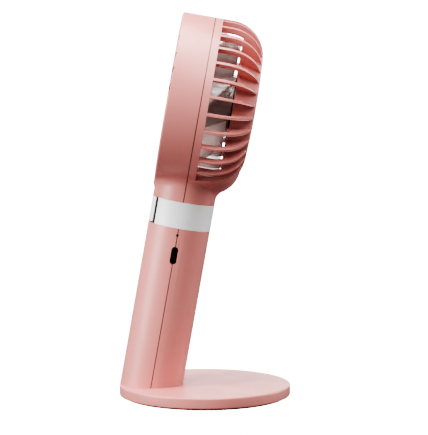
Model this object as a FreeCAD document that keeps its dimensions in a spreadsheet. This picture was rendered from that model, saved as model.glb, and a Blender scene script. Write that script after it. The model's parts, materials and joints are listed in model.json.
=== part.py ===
"""Handheld electric fan standing on a round stand.

Row frame: millimetres, +Z up, origin at the centre of the stand's underside.
The air outlet and the power button face -Y, the charging port faces +X.
The fan has a local frame of its own: z runs up the handle's axis from the point
where that axis meets the stand's top face, y points to the back, x to the port
side.  The head has the same axes, with its origin at the impeller's centre.
"""
import FreeCAD, Part
import math
import os
import PartDesign
import Sketcher
from FreeCAD import Placement, Rotation, Vector

SIZES = {
    # round stand
    "stand_radius": 47.2,
    "stand_height": 6.0,
    "stand_plate": 1.8,
    "stand_rim": 2.4,
    "stand_edge": 0.8,
    "stand_boss_radius": 3.0,
    "stand_boss_circle": 30.0,
    "cover_thick": 1.2,
    "weight_gap": 2.6,
    "pad_inset": 2.6,
    "pad_height": 1.0,
    "spigot_radius": 6.0,
    "spigot_height": 8.0,
    "spigot_root": 1.4,
    "magnet_radius": 4.5,
    "magnet_height": 3.0,
    # how the handle stands on it
    "lean": 10.0,
    "edge_margin": 0.5,
    "lift_gap": 0.15,
    # handle
    "grip_wall": 1.8,
    "neck_height": 112.5,
    "neck_fillet": 6.0,
    "knuckle_radius": 16.5,
    "knuckle_back": 11.3,
    "knuckle_rise": 12.7,
    "neck_bore_radius": 13.6,
    "neck_floor": 1.0,
    "slide_fit": 0.1,
    # end cap in the handle's foot
    "cap_height": 10.0,
    "socket_roof": 0.3,
    "catch_radius": 6.0,
    "catch_thick": 1.1,
    "cap_post_radius": 2.2,
    "cap_post_gap": 0.25,
    "grip_gap": 0.2,
    "cap_post_length": 12.0,
    # neck band, bezel and power button
    "band_drop": 23.7,
    "band_height": 14.4,
    "band_thick": 1.3,
    "band_gap_angle": 37.2,
    "bezel_thick": 0.9,
    "pad_angle": 29.6,
    "rail_gap_angle": 1.1,
    "rail_drop": 0.1,
    "pad_thick": 0.85,
    "pad_foot_gap": 0.6,
    "pad_head_gap": 0.15,
    "button_travel": 0.4,
    "stem_radius": 1.4,
    "stem_clearance": 0.3,
    "tip_gap": 0.05,
    # battery
    "cell_radius": 9.15,
    "cell_gap": 4.0,
    "cell_tip_radius": 2.8,
    "cell_tip_height": 0.8,
    "cradle_wall": 1.3,
    "cradle_floor": 2.0,
    "cradle_rise": 1.0,
    "cradle_rib": 1.5,
    # main board
    "board_bottom_drop": 46.5,
    "board_step_drop": 24.5,
    "board_top_drop": 10.5,
    "board_half_width": 12.0,
    "board_half_neck": 8.0,
    "board_thick": 1.2,
    "board_post_radius": 2.2,
    "low_post_side": 8.0,
    "low_post_drop": 42.5,
    "high_post_side": 5.5,
    "high_post_drop": 20.0,
    "board_screw_length": 6.0,
    # charging port
    "port_drop": 38.6,
    "port_width": 8.94,
    "port_thick": 3.2,
    "port_depth": 7.4,
    "port_wall": 0.3,
    "port_recess": 1.3,
    "port_margin": 0.4,
    "tongue_width": 6.7,
    "tongue_thick": 0.7,
    "tongue_depth": 6.0,
    # charge light
    "led_drop": 27.4,
    "led_radius": 0.65,
    "led_size": 1.6,
    "led_side": 9.8,
    # tact switch behind the button
    "switch_drop": 16.5,
    "switch_size": 6.0,
    "switch_height": 3.5,
    "plunger_radius": 1.6,
    "plunger_proud": 1.1,
    "plunger_length": 2.1,
    "plunger_gap": 0.08,
    # screws
    "screw_radius": 1.0,
    "screw_head_radius": 1.8,
    "screw_head_height": 1.4,
    "screw_play": 0.15,
    "screw_end_gap": 0.3,
    "shell_screw_side": 11.0,
    "shell_screw_drop": 15.5,
    "shell_post_radius": 2.2,
    "shell_post_depth": 8.0,
    # head
    "head_radius": 46.0,
    "head_front": 18.0,
    "head_edge": 1.2,
    "drum_wall": 1.8,
    "drum_rear": 10.0,
    "ring_depth": 4.3,
    "dome_corner": 19.3,
    "dome_crown": 0.9,
    # rear grille
    "fin_depth": 3.4,
    "fin_thick": 1.4,
    "fin_pitch": 12.0,
    "fin_count": 25,
    "cup_inset": 9.5,
    "cup_taper": 5.0,
    "cup_pocket_radius": 25.9,
    "cup_wall": 1.6,
    "cup_front": 17.1,
    "back_plate": 2.2,
    "cup_notch_width": 6.4,
    "cup_notch_depth": 4.6,
    "lead_hole_radius": 2.5,
    # front grille
    "guard_depth": 3.4,
    "guard_rim": 1.9,
    "guard_gap": 0.3,
    "guard_recess": 0.4,
    "vane_count": 24,
    "vane_thick": 1.3,
    "vane_depth": 2.4,
    "vane_sweep": 38.0,
    "mid_ring_radius": 29.0,
    "mid_ring_width": 1.6,
    "guard_hub_radius": 14.0,
    "guard_cap_radius": 11.0,
    "guard_cap_thick": 0.8,
    "ledge_width": 1.8,
    "ledge_thick": 1.2,
    "lug_angle": 7.0,
    "lug_notch_angle": 8.5,
    "lug_twist": 18.0,
    "lug_thick": 1.2,
    "lug_gap": 0.2,
    # impeller
    "tip_clearance": 1.1,
    "blade_count": 7,
    "blade_thick": 1.1,
    "blade_front": -4.0,
    "blade_back": 16.2,
    "tip_pitch": 32.0,
    "root_pitch": 52.0,
    "hub_wall": 1.6,
    "hub_front": -5.0,
    "hub_plate": 1.5,
    "hub_back": 16.5,
    # motor
    "can_radius": 15.4,
    "can_wall": 1.2,
    "can_front": 2.0,
    "can_boss_radius": 2.8,
    "can_boss_end": 4.0,
    "ring_magnet_wall": 1.0,
    "ring_magnet_front": 5.0,
    "ring_magnet_length": 10.0,
    "air_gap": 0.4,
    "core_front": 6.0,
    "core_length": 8.0,
    "core_yoke": 2.0,
    "pole_count": 9,
    "pole_width": 2.4,
    "shoe_depth": 1.4,
    "shoe_angle": 15.0,
    "coil_width": 4.2,
    "coil_head": 1.0,
    "mount_tube_radius": 4.5,
    "mount_tube_front": 4.3,
    "mount_step_radius": 5.5,
    "mount_step": 17.6,
    "mount_flange_radius": 12.0,
    "mount_flange_front": 22.0,
    "mount_flange_thick": 2.0,
    "mount_screw_circle": 9.5,
    "mount_screw_length": 5.0,
    "mount_post_radius": 2.4,
    "motor_board_radius": 12.4,
    "motor_board_thick": 1.0,
    "bearing_radius": 3.0,
    "bearing_width": 2.5,
    "front_bearing_face": 4.6,
    "rear_bearing_face": 20.0,
    "shaft_radius": 1.25,
    "shaft_front": 1.2,
    "shaft_back": 24.0,
    "shaft_fit": 0.02,
    "groove_radius": 1.0,
    "groove_face": 22.7,
    "groove_width": 0.5,
    "clip_radius": 2.4,
    "clip_gap_angle": 70.0,
    # leads
    "lead_radius": 0.55,
    "lead_spacing": 1.4,
    "lead_gap": 1.3,
    "lead_drop": 1.2,
    "lead_land": 5.0,
    "lead_reach": 4.5,
    "lead_solder": 10.6,
}

# Sizes that follow others.  Heights with a drop hang from the neck, so they move with it.
FOLLOWING = {
    "cap_post_offset": "cell_radius + slide_fit + cradle_wall + cap_post_gap + cap_post_radius",
    "grip_radius": "cap_post_offset + cap_post_radius + grip_gap + grip_wall",
    "hub_radius": "can_radius + hub_wall",
    "head_height": "neck_height + head_radius",
    "cup_radius": "head_radius - cup_inset",
    "cup_back_radius": "head_radius - cup_inset - cup_taper",
    "band_bottom": "neck_height - band_drop",
    "board_bottom": "neck_height - board_bottom_drop",
    "board_step": "neck_height - board_step_drop",
    "board_top": "neck_height - board_top_drop",
    "low_post_rise": "neck_height - low_post_drop",
    "high_post_rise": "neck_height - high_post_drop",
    "port_rise": "neck_height - port_drop",
    "led_rise": "neck_height - led_drop",
    "switch_rise": "neck_height - switch_drop",
    "shell_screw_rise": "neck_height - shell_screw_drop",
    "cell_length": "board_bottom - cell_gap - cap_height - cradle_floor",
}

# Chips on the front of the main board: width, depth and length, then the chip's middle
# across the board and above the charging port.
CHIPS = (
    (5.0, 1.0, 5.0, -3.0, 3.6),
    (4.2, 2.0, 4.2, 3.4, 5.6),
    (2.0, 0.9, 1.2, -7.0, 10.6),
    (2.0, 0.9, 1.2, -3.5, 11.1),
    (3.0, 1.2, 2.6, 4.6, 12.3),
)

doc = FreeCAD.newDocument("handheld_fan")
sheet = doc.addObject("Spreadsheet::Sheet", "dims")
cells = {name: str(number) for name, number in SIZES.items()}
cells.update({name: "=" + text for name, text in FOLLOWING.items()})
for row, (name, content) in enumerate(cells.items(), start=1):
    sheet.set(f"A{row}", name)
    sheet.setAlias(f"B{row}", name)
    sheet.set(f"B{row}", content)
doc.recompute()

nodes = {}


def dim(text):
    """Turn plain size names into references to the sheet: 'a + b' -> 'dims.a + dims.b'."""
    words = []
    word = ""
    for letter in text + " ":
        if letter.isalnum() or letter == "_" or (letter == "." and word[:1].isdigit()):
            word += letter
            continue
        words.append("dims." + word if word in cells else word)
        words.append(letter)
        word = ""
    return "".join(words).strip()


def size(text):
    """Number that an expression in size names comes to."""
    return float(sheet.evalExpression(dim(text)))


# Expressions that several pieces share.
STAND_UNDERSIDE = "(pad_height)"
STAND_TOP = "(pad_height + stand_height)"
PLATE_UNDERSIDE = "(pad_height + stand_height - stand_plate)"
COVER_TOP = "(pad_height + cover_thick)"
RIM_BORE = "(stand_radius - stand_rim)"
FOOT_Y = "-(stand_radius - grip_radius - edge_margin)"
BORE = "(grip_radius - grip_wall)"
BAND_TOP = "(band_bottom + band_height)"
GROOVE = "(grip_radius - band_thick)"
BEZEL_FLOOR = "(grip_radius - band_thick - bezel_thick)"
SOCKET_TOP = "(spigot_height + socket_roof)"
CELL_BOTTOM = "(cap_height + cradle_floor)"
BOARD_FRONT = "(port_thick / 2)"
BOARD_BACK = "(port_thick / 2 + board_thick)"
DOME_CENTRE = "(head_radius - dome_corner)"
DOME_BACK = "(drum_rear + dome_corner)"
CUP_FLOOR = "(drum_rear + dome_corner + dome_crown - back_plate)"
DRUM_BORE = "(head_radius - drum_wall)"
GUARD_RADIUS = "(head_radius - drum_wall - guard_gap)"
LEDGE_FRONT = "(guard_depth + guard_recess - head_front)"
CORE_RADIUS = "(can_radius - can_wall - ring_magnet_wall - air_gap)"
FLANGE_BACK = "(mount_flange_front + mount_flange_thick)"
KNUCKLE_Z = "(head_height - head_radius + knuckle_rise)"
TIP_RADIUS = "(head_radius - fin_depth - tip_clearance)"
NECK_TOP = "(head_height - head_radius - neck_floor)"

TURNED = {
    "x": Rotation(Vector(0, 1, 0), 90),
    "y": Rotation(Vector(1, 0, 0), -90),
    "z": Rotation(),
}


# ---------------------------------------------------------------- building blocks

def bind(item, **texts):
    """Bind an object's sizes to the sheet."""
    for name, text in texts.items():
        item.setExpression(name, dim(text))


def put(item, at, axis="z"):
    """Place a building block in its local frame, along one of that frame's axes."""
    item.Placement = Placement(Vector(), TURNED[axis])
    for letter, text in zip("xyz", at):
        item.setExpression(f"Placement.Base.{letter}", dim(text))


def cylinder(radius, length, at, axis="z", angle="360"):
    item = doc.addObject("Part::Cylinder", "cylinder")
    bind(item, Radius=radius, Height=length, Angle=angle)
    put(item, at, axis)
    return item


def box(lengths, at):
    item = doc.addObject("Part::Box", "box")
    bind(item, Length=lengths[0], Width=lengths[1], Height=lengths[2])
    put(item, at)
    return item


def fuse(*items):
    item = doc.addObject("Part::MultiFuse", "fuse")
    item.Shapes = list(items)
    return item


def cut(base, *tools):
    item = doc.addObject("Part::Cut", "cut")
    item.Base = base
    item.Tool = tools[0] if len(tools) == 1 else fuse(*tools)
    return item


def group(*items):
    """Several loose pieces of one kind kept as separate solids."""
    item = doc.addObject("Part::Compound", "group")
    item.Links = list(items)
    return item


def tube(radius, bore, length, at, axis="z"):
    return cut(cylinder(radius, length, at, axis), cylinder(bore, length, at, axis))


def stadium(width, thick, length, at):
    """Slot-shaped bar along x: wide along z, thin along y, centred on its start point."""
    x, y, z = at
    half_thick = f"(({thick}) / 2)"
    half_run = f"(({width}) / 2 - {half_thick})"
    return fuse(
        box((length, f"2 * {half_thick}", f"2 * {half_run}"), (x, f"{y} - {half_thick}", f"{z} - {half_run}")),
        cylinder(half_thick, length, (x, y, f"{z} - {half_run}"), "x"),
        cylinder(half_thick, length, (x, y, f"{z} + {half_run}"), "x"),
    )


def sector(radius, bore, length, rise, start, spread):
    """Part of a tube about the handle's axis, from a start angle counted from +x."""
    bodies = []
    for reach in (radius, bore):
        item = cylinder(reach, length, ("0", "0", rise), "z", spread)
        item.setExpression("Placement.Rotation.Angle", dim(start))
        bodies.append(item)
    return cut(*bodies)


def screw(at, axis, toward, length):
    """Pan-head screw: its head's seat is at the given point, the shank runs toward +1 or -1."""
    shift = {"x": 0, "y": 1, "z": 2}[axis]
    head_at = list(at)
    shank_at = list(at)
    if toward > 0:
        head_at[shift] = f"{at[shift]} - screw_head_height"
    else:
        shank_at[shift] = f"{at[shift]} - {length}"
    head = cylinder("screw_head_radius", "screw_head_height", head_at, axis)
    shank = cylinder("screw_radius", length, shank_at, axis)
    return fuse(head, shank)


def turned_body(name, outline, plane="XZ_Plane"):
    """Body made by turning a closed outline of (radius, height) points about its vertical axis."""
    body = doc.addObject("PartDesign::Body", name)
    sketch = body.newObject("Sketcher::SketchObject", name + "_outline")
    origin_plane = [face for face in body.Origin.OriginFeatures if face.Role == plane][0]
    sketch.AttachmentSupport = [(origin_plane, "")]
    sketch.MapMode = "FlatFace"
    points = [Vector(size(across), size(up), 0) for across, up in outline]
    for index, point in enumerate(points):
        sketch.addGeometry(Part.LineSegment(point, points[(index + 1) % len(points)]), False)
    for index in range(len(points)):
        sketch.addConstraint(Sketcher.Constraint("Coincident", index, 2, (index + 1) % len(points), 1))
    for index, (across, up) in enumerate(outline):
        for kind, text, value in (("DistanceX", across, points[index].x), ("DistanceY", up, points[index].y)):
            place = sketch.addConstraint(Sketcher.Constraint(kind, -1, 1, index, 1, value))
            label = f"{kind.lower()}_{index}"
            sketch.renameConstraint(place, label)
            sketch.setExpression(f"Constraints.{label}", dim(text))
    turn = body.newObject("PartDesign::Revolution", name + "_turn")
    turn.Profile = sketch
    turn.ReferenceAxis = (sketch, ["V_Axis"])
    turn.Angle = 360
    doc.recompute()
    return body


def feature(shape):
    """Piece whose shape is worked out in code."""
    item = doc.addObject("Part::Feature", "shape")
    item.Shape = shape
    return item


def keep(item, label):
    item.Label = label
    nodes[label] = item
    return item


def keep_in_fan(item, label, up="0"):
    """Name a piece of the leaning fan; 'up' is its local origin's height along the handle's axis."""
    if item.TypeId in ("Part::Cylinder", "Part::Box"):
        item = group(item)
    item.Placement = Placement(Vector(), Rotation(Vector(-1, 0, 0), size("lean")))
    item.setExpression("Placement.Rotation.Angle", dim("lean"))
    item.setExpression("Placement.Base.y", dim(f"{FOOT_Y} + {up} * sin(lean * 1 deg)"))
    item.setExpression("Placement.Base.z", dim(f"{STAND_TOP} + {up} * cos(lean * 1 deg)"))
    return keep(item, label)


def keep_in_head(item, label):
    return keep_in_fan(item, label, "head_height")


def round_places(count, circle, first=0.0):
    """Expressions for points spaced evenly on a circle."""
    places = []
    for index in range(count):
        angle = math.radians(first + 360.0 * index / count)
        places.append((f"{circle} * {math.cos(angle):.6f}", f"{circle} * {math.sin(angle):.6f}"))
    return places


# ---------------------------------------------------------------- stand

def build_stand():
    disc = turned_body("disc", [
        ("0", PLATE_UNDERSIDE), (RIM_BORE, PLATE_UNDERSIDE), (RIM_BORE, STAND_UNDERSIDE),
        ("stand_radius", STAND_UNDERSIDE), ("stand_radius", STAND_TOP), ("0", STAND_TOP),
    ])
    edges = []
    for index, edge in enumerate(disc.Shape.Edges, start=1):
        if hasattr(edge.Curve, "Radius") and abs(edge.Curve.Radius - size("stand_radius")) < 1e-6:
            edges.append(f"Edge{index}")
    turned = disc.Tip
    soft = disc.newObject("PartDesign::Fillet", "edge_round")
    soft.Base = (turned, edges)
    soft.setExpression("Radius", dim("stand_edge"))
    disc.Tip = soft
    doc.recompute()

    tilted = []
    for radius, low, high in (("spigot_radius", "spigot_root", "spigot_height"),
                              ("magnet_radius", "magnet_height - spigot_height", "spigot_height")):
        peg = cylinder(radius, f"{low} + {high}", ("0", "0", "0"))
        peg.Placement = Placement(Vector(), Rotation(Vector(-1, 0, 0), size("lean")))
        peg.setExpression("Placement.Rotation.Angle", dim("lean"))
        peg.setExpression("Placement.Base.y", dim(f"{FOOT_Y} - ({low}) * sin(lean * 1 deg)"))
        peg.setExpression("Placement.Base.z", dim(f"{STAND_TOP} - ({low}) * cos(lean * 1 deg)"))
        tilted.append(peg)
    places = round_places(3, "stand_boss_circle", 90.0)
    bosses = [cylinder("stand_boss_radius", f"{PLATE_UNDERSIDE} - {COVER_TOP}", (x, y, COVER_TOP))
              for x, y in places]
    pilots = [cylinder("screw_radius", f"{STAND_TOP} - stand_plate / 2 - {COVER_TOP}", (x, y, COVER_TOP))
              for x, y in places]
    keep(cut(fuse(disc, tilted[0], *bosses), tilted[1], *pilots), "base_disc")
    keep_in_fan(cylinder("magnet_radius", "magnet_height", ("0", "0", "0")), "base_magnet",
                "(spigot_height - magnet_height)")

    weight = cylinder(f"{RIM_BORE} - weight_gap", f"{PLATE_UNDERSIDE} - {COVER_TOP}", ("0", "0", COVER_TOP))
    clearances = [cylinder("stand_boss_radius + weight_gap / 4", "stand_height", (x, y, STAND_UNDERSIDE))
                  for x, y in places]
    foot = cylinder("spigot_radius + weight_gap / 2", "stand_height", ("0", FOOT_Y, STAND_UNDERSIDE))
    keep(cut(weight, foot, *clearances), "base_weight")

    plate = cylinder(f"{RIM_BORE} - slide_fit", "cover_thick", ("0", "0", STAND_UNDERSIDE))
    holes = []
    for x, y in places:
        holes.append(cylinder("screw_radius + screw_play", "cover_thick", (x, y, STAND_UNDERSIDE)))
        holes.append(cylinder("screw_head_radius + screw_play", "cover_thick / 2", (x, y, STAND_UNDERSIDE)))
    keep(cut(plate, *holes), "base_cover")

    screws = []
    for x, y in places:
        head = cylinder("screw_head_radius", "cover_thick / 2", (x, y, STAND_UNDERSIDE))
        shank = cylinder("screw_radius", "stand_height - stand_plate / 2 - cover_thick / 2 - screw_end_gap",
                         (x, y, f"{STAND_UNDERSIDE} + cover_thick / 2"))
        screws.append(fuse(head, shank))
    keep(group(*screws), "base_screws")
    keep(cylinder("stand_radius - pad_inset", "pad_height", ("0", "0", "0")), "foot_pad")


# ---------------------------------------------------------------- handle and head shells

def revolve_head(radius, back_cut):
    """Head's form about the y axis: drum, rounded corner and crowned back, shrunk by back_cut."""
    front = -2.0 * size("head_front")
    rear = size("drum_rear")
    corner = size("dome_corner") - back_cut
    centre = size(DOME_CENTRE)
    shoulder = centre + corner
    crown = size("dome_crown") if back_cut == 0.0 else 0.0
    diagonal = math.radians(45)
    edges = [
        Part.LineSegment(Vector(0, front, 0), Vector(radius, front, 0)).toShape(),
        Part.LineSegment(Vector(radius, front, 0), Vector(radius, rear, 0)).toShape(),
    ]
    if radius - shoulder > 1e-6:
        edges.append(Part.LineSegment(Vector(radius, rear, 0), Vector(shoulder, rear, 0)).toShape())
    middle = Vector(centre + corner * math.cos(diagonal), rear + corner * math.sin(diagonal), 0)
    top = Vector(centre, rear + corner, 0)
    edges.append(Part.Arc(Vector(shoulder, rear, 0), middle, top).toShape())
    pole = Vector(0, rear + corner + crown, 0)
    if crown > 0.0:
        big = (centre ** 2 + crown ** 2) / (2.0 * crown)
        half = centre / 2.0
        rise = pole.y - big + math.sqrt(big ** 2 - half ** 2)
        edges.append(Part.Arc(top, Vector(half, rise, 0), pole).toShape())
    else:
        edges.append(Part.LineSegment(top, pole).toShape())
    edges.append(Part.LineSegment(pole, Vector(0, front, 0)).toShape())
    head = Part.Face(Part.Wire(edges)).revolve(Vector(), Vector(0, 1, 0), 360)
    head.translate(Vector(0, 0, size("head_height")))
    return head


def disc_in_head(radius, front, back):
    """Round slab about the head's axis, in the fan's frame."""
    slab = Part.makeCylinder(radius, back - front, Vector(0, front, 0), Vector(0, 1, 0))
    slab.translate(Vector(0, 0, size("head_height")))
    return slab


def wedge(radius, front, depth, start, spread, bore=0.0):
    """Sector of a slab about the y axis; angles run from +x toward +z."""
    solid = Part.makeCylinder(radius, depth, Vector(0, front, 0), Vector(0, 1, 0), spread)
    solid.rotate(Vector(), Vector(0, 1, 0), 90.0 - start - spread)
    if bore > 0.0:
        solid = solid.cut(Part.makeCylinder(bore, depth, Vector(0, front, 0), Vector(0, 1, 0)))
    return solid


def outer_form():
    """Handle, neck and head as one solid, with the neck's fillets, before it is hollowed."""
    overrun = 8.0
    radius = size("head_radius")
    height = size("head_height")
    handle = Part.makeCylinder(size("grip_radius"), height - radius * 0.6 + overrun, Vector(0, 0, -overrun))
    knuckle = Part.makeSphere(size("knuckle_radius"), Vector(0, size("knuckle_back"), size(KNUCKLE_Z)))
    solid = revolve_head(radius, 0.0).fuse([handle, knuckle]).removeSplitter()
    sharp = []
    for edge in solid.Edges:
        middle = edge.valueAt((edge.FirstParameter + edge.LastParameter) / 2)
        if not height - radius - 12.0 < middle.z < height - radius * 0.75:
            continue
        faces = solid.ancestorsOfType(edge, Part.Face)
        if len(faces) < 2:
            continue
        normals = [face.normalAt(*face.Surface.parameter(middle)) for face in faces]
        if normals[0].getAngle(normals[1]) > math.radians(8):
            sharp.append(edge)
    solid = solid.makeFillet(size("neck_fillet"), sharp)
    reach = 4.0 * radius
    front = Part.makeBox(2 * reach, reach, 2 * reach, Vector(-reach, -reach - size("head_front"), -reach / 2))
    foot = Part.makeBox(reach, reach, reach, Vector(-reach / 2, -reach / 2, -reach))
    foot.rotate(Vector(), Vector(1, 0, 0), size("lean"))
    solid = solid.cut([front, foot])
    flat = [edge for edge in solid.Edges if edge.BoundBox.YMax < -size("head_front") + 1e-4]
    rim = [max(flat, key=lambda edge: edge.Length)]
    return solid.makeFillet(size("head_edge"), rim)


def hollow_tools():
    """Everything that both shells are hollowed by."""
    low = -10.0
    step = size("band_bottom - grip_wall")
    handle_bore = Part.makeCylinder(size(BORE), step - low, Vector(0, 0, low))
    neck_bore = Part.makeCylinder(size("neck_bore_radius"), size(NECK_TOP) - step, Vector(0, 0, step))
    drum = disc_in_head(size(DRUM_BORE), -2.0 * size("head_front"), size("ring_depth"))
    dome = revolve_head(size("head_radius - fin_depth"), size("fin_depth"))
    groove = Part.makeCylinder(size("grip_radius") + 5.0, size("band_height"), Vector(0, 0, size("band_bottom")))
    groove = groove.cut(Part.makeCylinder(size(GROOVE), size("band_height"), Vector(0, 0, size("band_bottom"))))
    led = Part.makeCylinder(size("led_radius + slide_fit"), size("grip_radius"),
                            Vector(0, 0, size("led_rise")), Vector(1, 0, 0))
    half = size("port_width + 2 * port_margin") / 2
    thick = size("port_thick + port_margin")
    mouth = Part.makeBox(size("grip_radius"), thick, 2 * half - thick,
                         Vector(0, -thick / 2, size("port_rise") - half + thick / 2))
    ends = [Part.makeCylinder(thick / 2, size("grip_radius"),
                              Vector(0, 0, size("port_rise") + side * (half - thick / 2)), Vector(1, 0, 0))
            for side in (-1, 1)]
    return [handle_bore, neck_bore, drum, dome, groove, led, mouth] + ends


def ledge():
    """Ring that the front guard's lugs hook behind, with one notch for each lug."""
    front = size(LEDGE_FRONT)
    back = front + size("ledge_thick")
    inner = size(f"{DRUM_BORE} - ledge_width")
    ring = disc_in_head(size(DRUM_BORE) + 0.5, front, back).cut(disc_in_head(inner, front - 1, back + 1))
    notches = []
    for index in range(3):
        start = 90.0 + 120.0 * index + size("lug_twist - lug_notch_angle")
        notch = wedge(size(DRUM_BORE), front, back - front, start, 2 * size("lug_notch_angle"))
        notch.translate(Vector(0, 0, size("head_height")))
        notches.append(notch)
    return ring.cut(notches)


def build_front_shell(form, tools):
    reach = 400.0
    front_half = form.common(Part.makeBox(reach, reach, reach, Vector(-reach / 2, -reach, -reach / 4)))
    shell = front_half.cut(tools)
    posts = []
    holes = []
    for side in (-1, 1):
        post = Part.makeCylinder(size("shell_post_radius"), size("shell_post_depth"),
                                 Vector(side * size("shell_screw_side"), -size("shell_post_depth"),
                                        size("shell_screw_rise")), Vector(0, 1, 0))
        posts.append(post)
        holes.append(Part.makeCylinder(size("screw_radius"), size("shell_post_depth") - 1.0,
                                       Vector(side * size("shell_screw_side"), 1.0 - size("shell_post_depth"),
                                              size("shell_screw_rise")), Vector(0, 1, 0)))
    posts.append(cap_post(-1))
    holes.append(cap_post_hole(-1))
    window = Part.makeCylinder(size(GROOVE) + 1.0, size("band_height"), Vector(0, 0, size("band_bottom")),
                               Vector(0, 0, 1), 2 * size("band_gap_angle"))
    window.rotate(Vector(), Vector(0, 0, 1), -90.0 - size("band_gap_angle"))
    window = window.cut(Part.makeCylinder(size(BEZEL_FLOOR), size("band_height"),
                                          Vector(0, 0, size("band_bottom"))))
    stem = Part.makeCylinder(size("stem_radius + stem_clearance"), size("grip_radius"),
                             Vector(0, 0, size("switch_rise")), Vector(0, -1, 0))
    shell = shell.fuse(posts + [ledge()]).cut([window, stem] + holes)
    return keep_in_fan(feature(shell.removeSplitter()), "front_shell")


def cap_post(side):
    """Post inside the handle's wall that takes an end cap screw."""
    post = Part.makeCylinder(size("cap_post_radius"), size("cap_post_length"),
                             Vector(0, side * size("cap_post_offset"), size("cap_height")))
    web = Part.makeBox(2 * size("cap_post_radius"), size(f"{BORE} - cap_post_offset") + 0.5,
                       size("cap_post_length"),
                       Vector(-size("cap_post_radius"),
                              size("cap_post_offset") if side > 0 else -size(BORE) - 0.5,
                              size("cap_height")))
    return post.fuse(web)


def cap_post_hole(side):
    return Part.makeCylinder(size("screw_radius"), size("cap_post_length") - 1.5,
                             Vector(0, side * size("cap_post_offset"), size("cap_height")))


def fin_slabs(inner, front):
    """One flat radial slab for each rear fin, from a radius outward and from a depth back."""
    slabs = []
    first = 90.0 - size("fin_pitch * (fin_count - 1)") / 2
    for index in range(int(size("fin_count"))):
        slab = Part.makeBox(size("head_radius"), size(DOME_BACK), size("fin_thick"),
                            Vector(inner, front, -size("fin_thick") / 2))
        slab.rotate(Vector(), Vector(0, 1, 0), -(first + size("fin_pitch") * index))
        slabs.append(slab)
    return slabs


def cup_cone(inset, back):
    """Tapered body of the motor cup, or of its hollow when set in by the wall."""
    front = size("cup_front")
    run = back - front
    slope = size("cup_radius - cup_back_radius") / (size(DOME_BACK) - front)
    start = size("cup_radius") - inset
    return Part.makeCone(start, start - slope * run, run, Vector(0, front, 0), Vector(0, 1, 0))


def grille_openings():
    """Wedges of air between the rear fins."""
    outer = size("head_radius") + 2.0
    front = size("ring_depth")
    depth = size(DOME_BACK) - front + 5.0
    spread = size("fin_pitch") * (size("fin_count") + 1)
    start = 90.0 - spread / 2
    ring = wedge(outer, front, depth, start, spread, size("cup_back_radius"))
    wall = cup_cone(0.0, size(DOME_BACK))
    openings = ring.cut([wall] + fin_slabs(size("cup_back_radius") / 2, front))
    openings.translate(Vector(0, 0, size("head_height")))
    return openings


def fin_webs(form):
    """Deep roots of the fins behind the impeller, which tie the motor cup to the dome."""
    webs = Part.makeCompound(fin_slabs(size("cup_back_radius - cup_wall / 2"), size("cup_front")))
    webs.translate(Vector(0, 0, size("head_height")))
    return webs.common(form).Solids


def build_rear_shell(form, tools):
    reach = 400.0
    rear_half = form.common(Part.makeBox(reach, reach, reach, Vector(-reach / 2, 0, -reach / 4)))
    shell = rear_half.cut(tools)
    centre = Vector(0, 0, size("head_height"))
    cup = cup_cone(0.0, size(DOME_BACK)).translated(centre).common(form)
    hollow = cup_cone(size("cup_wall"), size(CUP_FLOOR)).translated(centre)
    pocket = disc_in_head(size("cup_pocket_radius"), 0.0, size(CUP_FLOOR))
    shell = shell.fuse([cup] + fin_webs(form)).cut([pocket, hollow, grille_openings()])
    posts = []
    holes = []
    for angle in (90.0, 210.0, 330.0):
        x = size("mount_screw_circle") * math.cos(math.radians(angle))
        z = size("mount_screw_circle") * math.sin(math.radians(angle)) + size("head_height")
        start = size(FLANGE_BACK)
        posts.append(Part.makeCylinder(size("mount_post_radius"), size(CUP_FLOOR) + 0.5 - start,
                                       Vector(x, start, z), Vector(0, 1, 0)))
        holes.append(Part.makeCylinder(size("screw_radius"), 3.5, Vector(x, start, z), Vector(0, 1, 0)))
    for side, rise in ((-size("low_post_side"), size("low_post_rise")),
                       (size("high_post_side"), size("high_post_rise"))):
        start = size(BOARD_BACK)
        bore = size(BORE) if rise < size("band_bottom") else size("neck_bore_radius")
        wall = math.sqrt(bore ** 2 - side ** 2) + 0.5
        posts.append(Part.makeCylinder(size("board_post_radius"), wall - start, Vector(side, start, rise),
                                       Vector(0, 1, 0)))
        holes.append(Part.makeCylinder(size("screw_radius"), 5.5, Vector(side, start, rise), Vector(0, 1, 0)))
    for side in (-1, 1):
        x = side * size("shell_screw_side")
        posts.append(Part.makeCylinder(size("shell_post_radius"), size("shell_post_depth"),
                                       Vector(x, 0, size("shell_screw_rise")), Vector(0, 1, 0)))
        holes.append(Part.makeCylinder(size("screw_radius + screw_play"), size("grip_radius"),
                                       Vector(x, 0, size("shell_screw_rise")), Vector(0, 1, 0)))
        holes.append(Part.makeCylinder(size("screw_head_radius + screw_play"), size("grip_radius"),
                                       Vector(x, size("shell_post_depth"), size("shell_screw_rise")),
                                       Vector(0, 1, 0)))
    posts.append(cap_post(1))
    holes.append(cap_post_hole(1))
    low, high = lead_hole_ends()
    holes.append(Part.makeCylinder(size("lead_hole_radius"), (high - low).Length, low, high - low))
    width = size("cup_notch_width")
    holes.append(Part.makeBox(width, size("cup_notch_depth"), 4 * size("cup_wall"),
                              Vector(-width / 2, size("cup_front"),
                                     size("head_height - cup_radius - cup_wall"))))
    shell = shell.fuse(posts).cut(holes)
    return keep_in_fan(feature(shell.removeSplitter()), "rear_shell")


def build_shells():
    form = outer_form()
    tools = hollow_tools()
    build_front_shell(form, tools)
    build_rear_shell(form, tools)


# ---------------------------------------------------------------- end cap

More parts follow.
